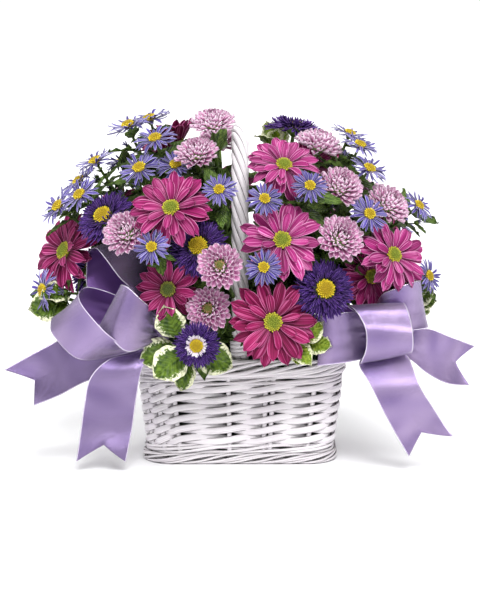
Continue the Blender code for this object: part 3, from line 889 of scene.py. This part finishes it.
def build_sprays():
    for order, name in enumerate(SPRAY_NAMES):
        rng = random.Random(1000 + order)
        kind = kind_of(name)
        look = KINDS[kind]
        size = BLOOM_SIZE.get(name, ASTER_SIZE if kind == "aster" else 1.0)
        blooms, foot = SPRAYS[name]
        piece = Piece(name + "_spray")
        for at, facing in blooms:
            shown = (facing + Vector((0, -1, 0)) * TURNED_FORWARD.get(name, 0.0)).normalized()
            bloom = standing(at, shown, rng.uniform(0, 6)) @ Matrix.Scale(size, 4)
            if kind == "pompon":
                pompon(piece, bloom, rng, open_eye=name == "pompon_middle")
            elif name == "daisy_top_left":
                half_open_daisy(piece, bloom, rng, 0.8)
            else:
                BUILD[kind](piece, bloom, rng)
            if name == "aster_low":
                pale_ring(piece, bloom, rng)
            line = stem(piece, foot, at, facing, 1.3 if kind == "blue_aster" else 1.8)
            if kind == "blue_aster":
                stem_leaves(piece, rng, line, look.leaves, 1.02, 0.36, 0.61)
                shoots(piece, rng, line, 5)
            else:
                stem_leaves(piece, rng, line, look.leaves, 1.0)
            stem_leaves(piece, rng, line, 11, 1.25, 0.09, 0.36)
            if name == "pompon_top":
                stem_leaves(piece, rng, line, 18, 1.2, 0.6, 0.3)
        collar(piece, rng, foot, 9)
        petals = PETALS[PETAL_CHOICE.get(name, look.petals)]
        piece.finish(look.slot, [petals, DISCS[look.disc], STEM_GREEN, PETALS["pale_floret"]], name)
    for order, (name, (kind, spray, at, facing, size)) in enumerate(HALF_HIDDEN.items()):
        rng = random.Random(2000 + order)
        look = KINDS[kind]
        at, facing = Vector(at) * MM, Vector(facing).normalized()
        piece = Piece(name + "_bloom")
        BUILD[kind](piece, standing(at, facing, rng.uniform(0, 6)) @ Matrix.Scale(size, 4), rng)
        line = stem(piece, SPRAYS[spray][1], at, facing, 1.8)
        stem_leaves(piece, rng, line, look.leaves, 1.0)
        piece.finish(look.slot, [PETALS[look.petals], DISCS[look.disc], STEM_GREEN], spray)


# Greens: how far each sprig's leaves face out to the front or back, and each leaf's base and tip in mm

LEAVES = {
    "leaves_front_left": (0.2, [
        ((-54, -112, 126), (-66, -118, 154)), ((-54, -102, 112), (-88, -104, 103)),
        ((-46, -114, 112), (-75, -121, 91)), ((-43, -112, 106), (-52, -112, 77)),
        ((-38, -112, 115), (-6, -112, 98)),
    ]),
    "leaves_front_right": (0.2, [
        ((44, -104, 116), (62, -118, 102)), ((54, -104, 122), (72, -112, 138)),
        ((58, -98, 118), (80, -106, 116)), ((50, -104, 116), (50, -112, 100)),
    ]),
    "leaves_left": (1.6, [
        ((-160, -26, 148), (-184, -12, 160)), ((-156, -40, 143), (-190, -48, 139)),
        ((-158, -26, 146), (-182, -24, 134)), ((-156, -32, 150), (-178, -56, 152)),
        ((-162, -20, 152), (-176, -14, 172)), ((-154, -36, 140), (-164, -58, 128)),
    ]),
    "leaves_right": (1.2, [
        ((152, -30, 146), (174, -44, 160)), ((154, -28, 144), (178, -32, 144)),
        ((154, -24, 142), (174, -14, 132)), ((152, -34, 150), (168, -50, 170)),
    ]),
    "leaves_back": (0.2, [
        ((22, 92, 118), (8, 118, 108)), ((26, 92, 118), (36, 120, 104)),
        ((24, 92, 120), (24, 120, 126)), ((20, 90, 116), (-4, 112, 116)), ((30, 90, 116), (54, 112, 118)),
    ]),
    "leaves_top": (0.2, [
        ((30, 20, 276), (25, 14, 304)), ((30, 24, 268), (26, 44, 288)),
        ((30, 18, 274), (14, 8, 292)), ((31, 20, 274), (40, 14, 298)),
    ]),
}


def build_leaves():
    for order, (name, (turned, leaves)) in enumerate(LEAVES.items()):
        rng = random.Random(300 + order)
        piece = Piece(name + "_sprig")
        foot = foot_of(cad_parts[name].data.vertices)
        hub = sum((Vector(base) for base, _ in leaves), Vector()) / len(leaves) * MM
        top = over_foam(foot)
        line = [foot] + curve(top, top + upwards(18 * MM), hub.lerp(top, 0.4), hub, 10)
        piece.lay(rod(line, STALK_SIDE, 1.6, 1.6, sides=7, slot=1))
        for base, tip in leaves:
            base, tip = Vector(base) * MM, Vector(tip) * MM
            reach = tip - base
            sideways = Vector((0, -turned if base.y < 0 else turned, 0.7))
            out = ((base - DOME_MIDDLE).normalized() + sideways).normalized()
            leaf, _ = leaf_frame(base, reach.normalized(), out)
            leaf = leaf @ Matrix.Scale(reach.length / (LEAF_LENGTH * MM), 4)
            piece.lay(rng.choice(BROAD_LEAVES), leaf, rng.uniform(-0.7, 0.7))
            stalk = [hub.lerp(base, n / 4) for n in range(5)]
            if (base - hub).length > 2 * MM:
                piece.lay(rod(stalk, Vector((0.3, 0.2, 1)), 0.9, 0.9, sides=6, slot=1))
        green = YOUNG_PITTOSPORUM if name in ("leaves_top", "leaves_front_right") else PITTOSPORUM
        piece.finish("green_foliage", [green, STEM_GREEN], name)


# Basket: the half length and half depth of its foot and of the top of its wall, the wall's height and
# the radius of its corners, in mm

FOOT_HALF, WALL_TOP_HALF, WALL_TOP, CORNER = Vector((83, 58)), Vector((92, 67)), 80, 24


def round_wall(t, height, outward):
    """The place and outward way at share t of the way round the basket.

    It starts from the middle of the left side and runs anticlockwise, seen from above.
    """
    half = FOOT_HALF + (WALL_TOP_HALF - FOOT_HALF) * (height / WALL_TOP) + Vector((outward, outward))
    corner = CORNER + outward
    flat_x, flat_y = half.x - corner, half.y - corner
    arc = math.pi / 2 * corner
    run = (t % 1.0) * (4 * flat_x + 4 * flat_y + 4 * arc)
    legs = [
        (flat_y, (-half.x, 0), (0, -1), (-1, 0)),
        (arc, (-flat_x, -flat_y), math.pi, None),
        (2 * flat_x, (-flat_x, -half.y), (1, 0), (0, -1)),
        (arc, (flat_x, -flat_y), 1.5 * math.pi, None),
        (2 * flat_y, (half.x, -flat_y), (0, 1), (1, 0)),
        (arc, (flat_x, flat_y), 0.0, None),
        (2 * flat_x, (flat_x, half.y), (-1, 0), (0, 1)),
        (arc, (-flat_x, flat_y), 0.5 * math.pi, None),
        (flat_y, (-half.x, flat_y), (0, -1), (-1, 0)),
    ]
    for length, (x, y), way, out in legs:
        if run <= length:
            break
        run -= length
    if out:
        return Vector((x + way[0] * run, y + way[1] * run, height)) * MM, Vector((*out, 0))
    angle = way + run / corner
    out = Vector((math.cos(angle), math.sin(angle), 0))
    return Vector((x + out.x * corner, y + out.y * corner, height)) * MM, out


STAKES = [
    0.040, 0.096, 0.120, 0.146, 0.232, 0.296, 0.366, 0.424, 0.450, 0.474, 0.530,
    0.585, 0.600, 0.626, 0.650, 0.706, 0.775, 0.845, 0.925, 0.950, 0.975, 1.000,
]
DOUBLE_STAKES = (5, 16)


def stake_phase(t):
    """How many stakes have been passed at share t, with a fraction between two."""
    t = t % 1.0
    passed = bisect.bisect_left(STAKES, t)
    before = STAKES[passed - 1] if passed else STAKES[-1] - 1.0
    return passed + (t - before) / (STAKES[passed] - before)


def round_rod(steps, height, outward, thick_out, thick_up, sway_out, sway_up):
    """A closed rod round the basket; sway_out(t) and sway_up(t) shift it in mm."""
    points, outs = [], []
    for n in range(steps):
        t = n / steps
        point, out = round_wall(t, height, outward)
        points.append(point + out * sway_out(t) * MM + upwards(sway_up(t) * MM))
        outs.append(out)
    return rod(points, outs, thick_out, thick_up, closed=True)


def laid_border(piece, rng, height, outward, deep, tall, count, turns, thickness, steps=260, lift=0.0):
    """Rods laid round one another in a flat rope, as a basket's border is; lift raises its corners."""
    def angle(t, shift):
        return 2 * math.pi * turns * t + shift + 0.25 * math.sin(2 * math.pi * 5 * t + shift * 3)

    def corner_lift(t):
        _, out = round_wall(t, height, outward)
        return lift * min(1.0, 2 * abs(out.x * out.y))

    for n in range(count):
        shift = 2 * math.pi * n / count
        piece.lay(
            round_rod(
                steps, height, outward, thickness * 0.9, thickness,
                lambda t: (deep - thickness * 0.9) * math.cos(angle(t, shift)),
                lambda t: (tall - thickness) * math.sin(angle(t, shift)) + corner_lift(t),
            ),
            tone=rng.uniform(-1, 1),
        )


def weave(wall, rng):
    """Six rows of paired rods that cross between the stakes."""
    row_pitch = 9.6
    for row in range(6):
        wobble = rng.uniform(0, 6)
        for turn in (0.0, math.pi):
            def phase(t):
                return math.pi * stake_phase(t) + turn

            def sway_out(t):
                return 2.3 * math.cos(phase(t)) + 0.15 * math.sin(40 * t + wobble)

            def sway_up(t):
                return 2.35 * math.sin(phase(t)) + 0.35 * math.sin(12 * math.pi * t + wobble)

            wall.lay(
                round_rod(330, 22.5 + row_pitch * row, -1.8, 1.25, 3.3, sway_out, sway_up),
                tone=rng.uniform(-1, 1),
            )


def build_handle(rng):
    """Six strands laid round a core, bound at each foot with four rings."""
    sideways = Vector((1, 0, 0))
    front_foot = [(-50, 31), (-52.5, 64), (-55, 97), (-60.5, 160)]
    bow = [
        (-62 * math.cos(math.pi * n / 24), 215 + 80.5 * math.sin(math.pi * n / 24)) for n in range(25)
    ]
    back_foot = [(-y, z) for y, z in reversed(front_foot)]
    line = even_line([Vector((0, y, z)) * MM for y, z in front_foot + bow + back_foot], 200)
    hoop = Piece("roped_handle")
    core_outs = []
    for n in range(len(line)):
        after, before = line[min(n + 1, len(line) - 1)], line[max(n - 1, 0)]
        core_outs.append((after - before).normalized().cross(sideways).normalized())
    hoop.lay(rod(line, core_outs, 4.4, 4.4), tone=-1)
    for strand in range(6):
        points, outs = [], []
        for n, point in enumerate(line):
            angle = 2 * math.pi * (strand / 6 + 6.5 * n / (len(line) - 1))
            radial = core_outs[n] * math.cos(angle) + sideways * math.sin(angle)
            points.append(point + radial * 5.5 * MM)
            outs.append(radial)
        hoop.lay(rod(points, outs, 2.4, 2.85), tone=rng.uniform(-1, 1))
    for side in (-1, 1):
        for ring in range(4):
            height = 101 + ring * 3.6
            spot = Vector((0, side * (55 + (height - 97) * 0.087), height)) * MM
            around = [
                spot + Vector((7.9 * math.sin(a), 7.9 * math.cos(a), 0.9 * math.sin(a))) * MM
                for a in (2 * math.pi * n / 28 for n in range(28))
            ]
            outs = [(p - spot).normalized() for p in around]
            hoop.lay(rod(around, outs, 1.3, 1.9, sides=7, closed=True), tone=rng.uniform(-1, 1))
    hoop.finish("painted_willow", [HANDLE_WILLOW], "handle_hoop")


def build_basket():
    rng = random.Random(7)
    wall = Piece("woven_wall")
    weave(wall, rng)
    laid_border(wall, rng, 13.6, -1.5, 2.6, 5.0, 5, 3, 1.5)
    laid_border(wall, rng, 77.5, -1.5, 2.6, 4.6, 5, 3, 1.4)
    for index, stake in enumerate(STAKES):
        for side in ((-0.0055, 0.0055) if index in DOUBLE_STAKES else (0.0,)):
            points, outs = zip(*(round_wall(stake + side, 3 + 82 * n / 9, -2.2) for n in range(10)))
            wall.lay(rod(points, outs, 1.9, 2.3), tone=rng.uniform(-0.5, 1))
    wall.finish("painted_willow", [WILLOW], "basket_wall")

    foot = Piece("plaited_foot")
    laid_border(foot, rng, 5.3, 2.2, 2.9, 5.0, 8, 5, 1.22, 320)
    foot.finish("painted_willow", [FOOT_WILLOW], "foot_border")

    rim = Piece("laid_rim")
    laid_border(rim, rng, 88.6, -1.2, 4.2, 8.4, 11, 3, 1.75, 320, 2.0)
    rim.finish("painted_willow", [RIM_WILLOW], "rim_border")

    build_handle(rng)


def even_line(points, count):
    """count points evenly spaced on a smooth line through these."""
    dense = []
    last = len(points) - 1
    for n in range(last):
        stretch = points[max(n - 1, 0)], points[n], points[n + 1], points[min(n + 2, last)]
        dense += [glide(*stretch, k / 12) for k in range(12)]
    dense.append(points[-1])
    runs = runs_of(dense)
    line, index = [], 0
    for n in range(count):
        want = runs[-1] * n / (count - 1)
        while index < len(runs) - 2 and runs[index + 1] < want:
            index += 1
        share = (want - runs[index]) / max(runs[index + 1] - runs[index], 1e-9)
        line.append(dense[index].lerp(dense[index + 1], min(1.0, share)))
    return line


def glide(a, b, c, d, t):
    """Point t of the way from b to c on the smooth line through a, b, c and d."""
    return 0.5 * (
        2 * b + (c - a) * t + (2 * a - 5 * b + 4 * c - d) * t * t + (3 * b - a - 3 * c + d) * t ** 3
    )


def runs_of(line):
    """How far along the line each of its points is."""
    runs = [0.0]
    for before, after in zip(line, line[1:]):
        runs.append(runs[-1] + (after - before).length)
    return runs


# Ribbons: each bow's tie as its middle and half size, then the two edges of each strip at its
# stations, upper and lower, as the CAD strips run, in mm

TIES = {"left_bow": ((-70, -85, 128), (8, 13, 16)), "right_bow": ((124, -72, 121), (12, 10, 14))}
LEFT_BOW = {
    "loop_side": [
        (-81, -86, 142, -83, -84, 126), (-104, -88, 156, -124, -70, 128), (-132, -93, 166, -162, -72, 138),
        (-140, -106, 161, -168, -82, 130), (-134, -117, 150, -163, -92, 121),
        (-114, -126, 130, -143, -102, 105), (-98, -116, 120, -120, -92, 104), (-82, -96, 123, -86, -88, 112),
    ],
    "loop_top": [
        (-76, -72, 140, -80, -76, 124), (-70, -58, 172, -91, -80, 157), (-78, -50, 197, -106, -79, 173),
        (-88, -46, 206, -119, -73, 189), (-98, -42, 207, -128, -62, 196), (-102, -34, 204, -135, -46, 189),
        (-98, -30, 188, -138, -38, 172), (-93, -34, 164, -136, -43, 153), (-88, -48, 146, -118, -56, 136),
        (-80, -66, 136, -83, -68, 122),
    ],
    "loop_front": [
        (-72, -92, 132, -71, -92, 119), (-76, -108, 148, -82, -108, 116), (-86, -118, 160, -98, -120, 114),
        (-96, -119, 170, -110, -122, 124), (-103, -110, 171, -119, -113, 128),
        (-105, -99, 166, -129, -104, 121), (-101, -91, 154, -127, -95, 113),
    ],
    "tail_side": [
        (-80, -82, 118, -78, -82, 108), (-104, -80, 124, -100, -80, 92), (-133, -80, 124, -118, -80, 84),
        (-156, -84, 119, -136, -84, 80), (-180, -93, 108, -158, -93, 70), (-207, -100, 94, -181, -100, 62),
    ],
    "tail_down": [
        (-86, -96, 111, -72, -95, 111), (-114, -104, 104, -77, -103, 108), (-131, -104, 88, -86, -104, 94),
        (-137, -97, 62, -91, -97, 68), (-141, -93, 36, -95, -93, 40), (-145, -92, 10, -101, -92, 10),
    ],
}
RIGHT_BOW = {
    "loop_left": [
        (111, -72, 143, 112, -72, 112), (99, -78, 148, 99, -78, 105), (86, -82, 146, 87, -82, 103),
        (73, -88, 142, 73, -88, 99), (66, -98, 140, 67, -98, 97), (74, -104, 143, 78, -104, 99),
        (90, -101, 145, 95, -101, 101), (107, -86, 143, 113, -86, 103),
    ],
    "loop_center": [
        (109, -84, 137, 132, -84, 137), (98, -88, 145, 144, -88, 146), (93, -97, 150, 143, -97, 152),
        (100, -110, 147, 146, -110, 147), (108, -119, 134, 149, -119, 133), (109, -117, 116, 150, -117, 117),
        (105, -106, 100, 148, -106, 110), (110, -88, 108, 138, -88, 114),
    ],
    "loop_right": [
        (120, -76, 147, 124, -78, 125), (125, -86, 159, 132, -88, 119), (136, -92, 165, 142, -92, 123),
        (149, -89, 169, 155, -88, 126), (158, -79, 170, 165, -78, 127), (160, -66, 167, 166, -66, 126),
        (153, -59, 161, 157, -59, 123), (139, -60, 153, 142, -60, 125), (128, -66, 143, 130, -66, 128),
    ],
    "tail_side": [
        (138, -78, 122, 138, -78, 106), (151, -86, 127, 151, -86, 100), (166, -90, 129, 164, -90, 89),
        (184, -92, 122, 182, -92, 80), (206, -94, 114, 202, -94, 79),
    ],
    "tail_down": [
        (111, -84, 107, 135, -84, 109), (104, -98, 99, 147, -98, 106), (114, -106, 81, 156, -106, 83),
        (126, -103, 57, 169, -103, 61), (138, -99, 34, 180, -99, 44), (149, -97, 15, 188, -97, 34),
    ],
}
BOWS = {"left_bow": LEFT_BOW, "right_bow": RIGHT_BOW}
RIBBON_WIDTH = 0.045
RIBBON_THICK = 0.35
NOTCH = 15


def satin(bm, name, materials, node):
    """A piece of ribbon with its thickness."""
    piece = placed(bm, name, materials, "satin_ribbon", node)
    shell = piece.modifiers.new("cloth_thickness", "SOLIDIFY")
    shell.thickness = RIBBON_THICK * MM
    shell.offset = 0.0
    return piece, shell


def build_strip(bow, part, stations):
    """One strip of satin, gathered where the tie holds it; a tail ends in a swallow's notch."""
    core = Vector(TIES[bow][0]) * MM
    is_tail = part.startswith("tail")
    held_end = not is_tail and part != "loop_front"
    rows, columns, pleats = 72, 28, 3.5
    edges = []
    for side, shift in ((slice(0, 3), 4), (slice(3, 6), -4)):
        edge = [Vector(station[side]) * MM for station in stations]
        edge.insert(0, edge[0].lerp(core, 0.6) + upwards(shift * MM))
        if held_end:
            edge.append(edge[-1].lerp(core, 0.6) + upwards(shift * MM))
        edges.append(even_line(edge, rows + 1))
    upper, lower = edges
    centres = [(a + b) / 2 for a, b in zip(upper, lower)]
    runs = runs_of(centres)
    length = runs[-1]
    notch = NOTCH * MM / length if is_tail else 0.0

    def place(across, along):
        share = along * (1 - notch * (1 - abs(2 * across - 1)) * along ** 6)
        a, b = along_line(upper, share)[0], along_line(lower, share)[0]
        way = along_line(centres, share)[1]
        run = runs[min(int(share * rows), rows - 1)]
        normal = way.cross(b - a).normalized()
        near = math.exp(-run / (0.01 if is_tail else 0.02))
        if held_end:
            near = max(near, math.exp(-(length - run) / 0.02))
        width = (b - a).length
        spare = max(0.0, 2 * ((RIBBON_WIDTH / width) ** 2 - 1))
        deep = min(3.0, width / MM / (2 * math.pi * pleats) * math.sqrt(spare))
        pleat = near * deep * math.sin(across * 2 * math.pi * pleats + 1.0)
        if is_tail:
            sway = 2.0 * math.sin(len(part) + run / 0.0125 + 1.3 * across)
        else:
            sway = 1.1 * math.sin(9 * share + len(part) + across)
        sag = (1 - near) * (sway + 1.0 * math.sin(math.pi * across))
        return a.lerp(b, across) + normal * (pleat + sag) * MM

    bm = grid(columns, rows, place)
    bm.normal_update()
    heart = sum(centres, Vector()) / len(centres)

    def outwards(face):
        """How far a face looks forwards, on a tail, or away from the middle of its loop."""
        if is_tail:
            return -face.normal.y
        return face.normal.dot((face.calc_center_median() - heart).normalized())

    if sum(outwards(face) * face.calc_area() for face in bm.faces) < 0:
        bmesh.ops.reverse_faces(bm, faces=bm.faces)
    # The left bow's tails take the darker copy of the satin: painted shade.
    outside = SATIN_SHADED if is_tail and bow == "left_bow" else SATIN
    piece, shell = satin(bm, f"{bow}_{part}_satin", [outside, SATIN_PAINTED_SHADE], f"{bow}_{part}")
    # The inner face of each loop takes the darker satin, painted shade; a tail has the outer satin on both
    # faces.
    shell.material_offset = 0 if is_tail else 1


def build_knot(bow):
    """The band of ribbon that gathers a bow, pleated round its middle, and the pick that holds it."""
    middle, half = TIES[bow]
    core, half = Vector(middle) * MM, Vector(half) * MM
    axis, first, second = (2, 0, 1) if bow == "left_bow" else (0, 1, 2)

    def place(across, along):
        angle = 2 * math.pi * along
        side = 2 * across - 1
        swell = 1 - 0.25 * side * side + 0.05 * math.sin(across * 2 * math.pi * 3)
        ring, step = Vector(), Vector()
        ring[first], ring[second] = math.cos(angle) * half[first], math.sin(angle) * half[second]
        step[axis] = side * half[axis] * 0.9
        return core + ring * swell + step

    bm = grid(10, 40, place, weld=1e-6)
    bmesh.ops.recalc_face_normals(bm, faces=bm.faces)
    piece, _ = satin(bm, f"{bow}_knot", [SATIN], f"{bow}_tie")

    pick = Piece(f"{bow}_pick")
    foot = foot_of(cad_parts[f"{bow}_tie"].data.vertices)
    top = over_foam(foot)
    line = [foot] + curve(top, top + upwards(10 * MM), core + Vector((0, 20, -6)) * MM, core, 8)
    pick.lay(rod(line, STALK_SIDE, 1.5, 1.5))
    pick.finish("satin_ribbon", [SATIN_PAINTED_SHADE], f"{bow}_tie")


# Studio

def sun_light(name, from_way, strength, softness):
    """An even light from far off; softness is how wide it is in the sky, in degrees."""
    lamp = bpy.data.lights.new(name, "SUN")
    lamp.energy = strength
    lamp.angle = math.radians(softness)
    linked(name, lamp).rotation_euler = Vector(from_way).to_track_quat("Z", "Y").to_euler()


def build_floor():
    finish = Finish("studio_floor", 0.9, Specular_IOR_Level=0.0)
    speck = finish.grain(finish.place(), 6.0, 2.0)
    finish.colour(finish.mix(finish.span(speck, 0.3, 0.7), shade(250, 250, 251), shade(253, 253, 254)))
    bm = bmesh.new()
    bmesh.ops.create_grid(bm, x_segments=1, y_segments=1, size=20.0)
    floor = linked("studio_floor", mesh_of(bm, "studio_floor"))
    floor.data.materials.append(finish.material)


def build_air():
    """Light from all round, paler towards the top, behind a plain white."""
    world = bpy.data.worlds.new("studio_air")
    bpy.context.scene.world = world
    world.use_nodes = True
    air = Nodes(world.node_tree)
    height = air.add("SeparateXYZ", {0: air.add("TexCoord", {}).outputs["Generated"]}).outputs[2]
    lit = air.ramp(height, [(0.0, (0.26, 0.26, 0.28, 1)), (0.8, (0.8, 0.8, 0.8, 1))])
    seen = air.add("LightPath", {}).outputs["Is Camera Ray"]
    back = air.tree.nodes["Background"]
    air.tree.links.new(air.mix(seen, lit, (1.05, 1.05, 1.05, 1)), back.inputs[0])
    back.inputs[1].default_value = 1.0


def build_camera():
    lens = bpy.data.cameras.new("main_camera")
    lens.lens = 124
    lens.sensor_width = 36
    camera = linked("main_camera", lens)
    elevation, distance = math.radians(9), 1.9
    target = Vector((0, 0, 0.140))
    camera.location = target + Vector((0, -math.cos(elevation), math.sin(elevation))) * distance
    camera.rotation_euler = (target - camera.location).to_track_quat("-Z", "Y").to_euler()
    bpy.context.scene.camera = camera


def build_studio():
    build_floor()
    build_air()
    sun_light("key_light", (0.18, -0.92, 1.05), 2.5, 26)
    sun_light("fill_light", (-0.9, -0.6, 0.75), 0.7, 40)
    sun_light("back_light", (0.2, 0.9, 1.3), 0.8, 40)
    build_camera()
    bpy.context.scene.view_settings.view_transform = "Standard"


build_basket()
build_sprays()
build_leaves()
for bow_name, strips in BOWS.items():
    build_knot(bow_name)
    for part_name, part_stations in strips.items():
        build_strip(bow_name, part_name, part_stations)
for node_name, node_finish in NODE_FINISHES.items():
    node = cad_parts[node_name]
    node.data.materials.clear()
    node.data.materials.append(node_finish)
build_studio()

bpy.context.view_layer.update()
